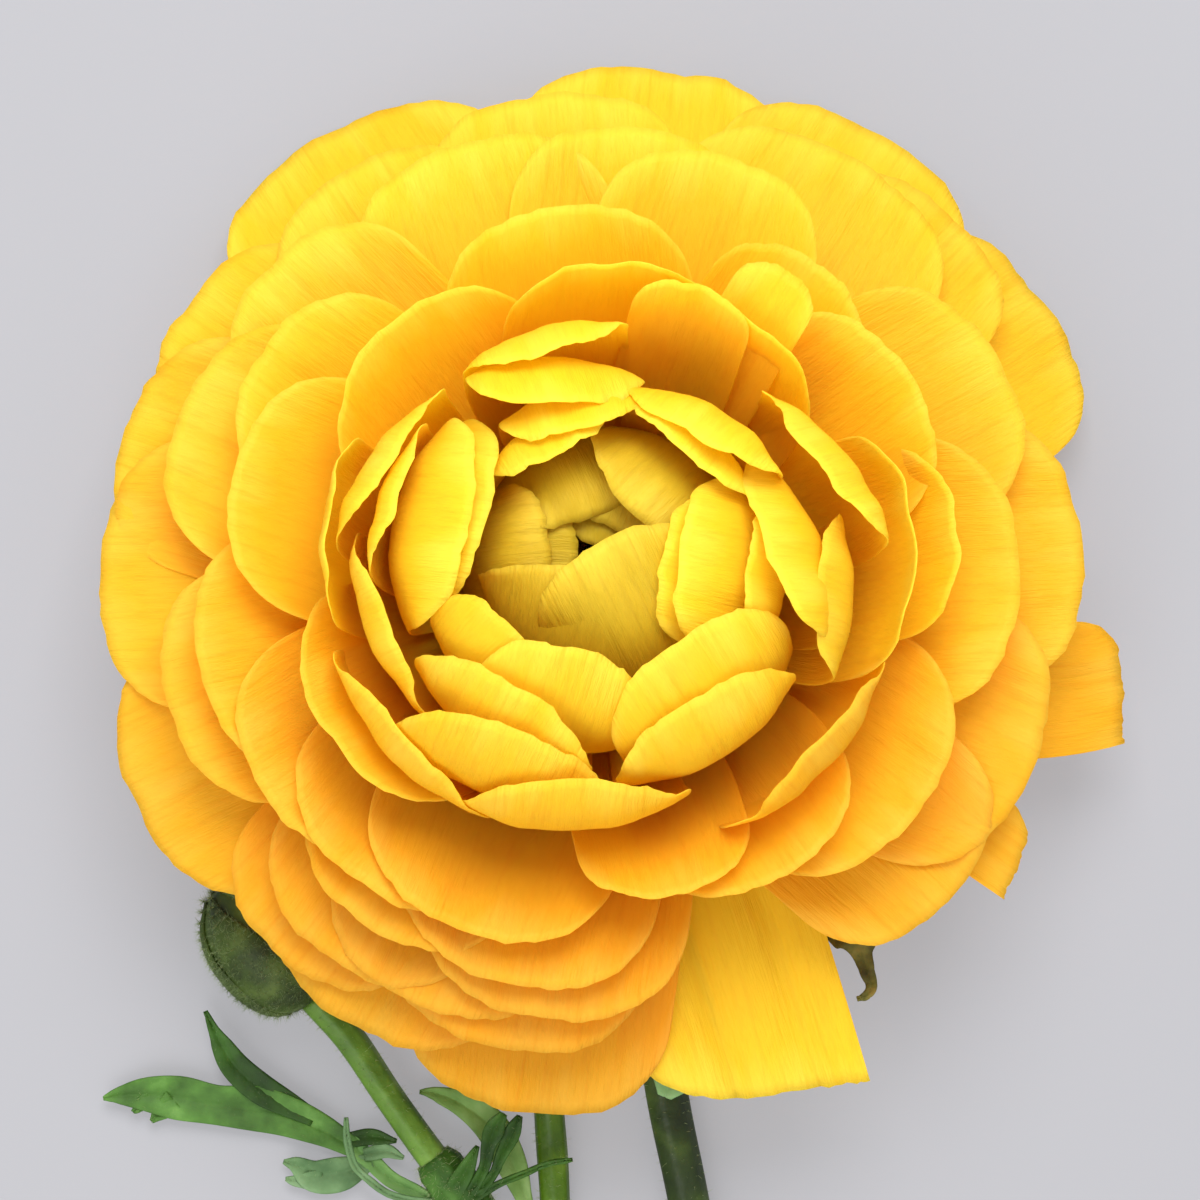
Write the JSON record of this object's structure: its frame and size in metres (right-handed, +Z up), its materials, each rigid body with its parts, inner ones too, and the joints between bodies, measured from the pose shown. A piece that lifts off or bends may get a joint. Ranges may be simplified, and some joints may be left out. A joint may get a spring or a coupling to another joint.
{
  "type": "cut flower",
  "caption": "Cut ranunculus lying down: full golden double bloom with a lime heart and dark eye, on a stem with a side branch of furry buds and cut leaves",
  "frame": {"origin": "centre of the overall bounding box in plan, on the surface that the flower lies on", "axes": "+Z up, the bloom faces up; the cut stem runs towards -Y and the bloom is at the +Y end"},
  "size_m": [0.1114, 0.1968, 0.0544],
  "materials": {
    "gold_petal": "satin, thin and translucent",
    "lime_petal": "satin, thin and translucent",
    "dark_carpel": "matt",
    "calyx_green": "matt, downy",
    "stem_green": "satin, downy",
    "leaf_green": "matt, downy",
    "pale_leaf_green": "matt, downy",
    "bud_green": "matt, woolly"
  },
  "bodies": {
    "root": {"petals_gold": "gold_petal", "petals_heart": "lime_petal", "carpels": "dark_carpel", "calyx": "calyx_green", "stem": "stem_green", "stem_leaf": "leaf_green", "pale_leaf": "pale_leaf_green", "bud": "bud_green", "small_bud": "bud_green"}
  },
  "joints": []
}
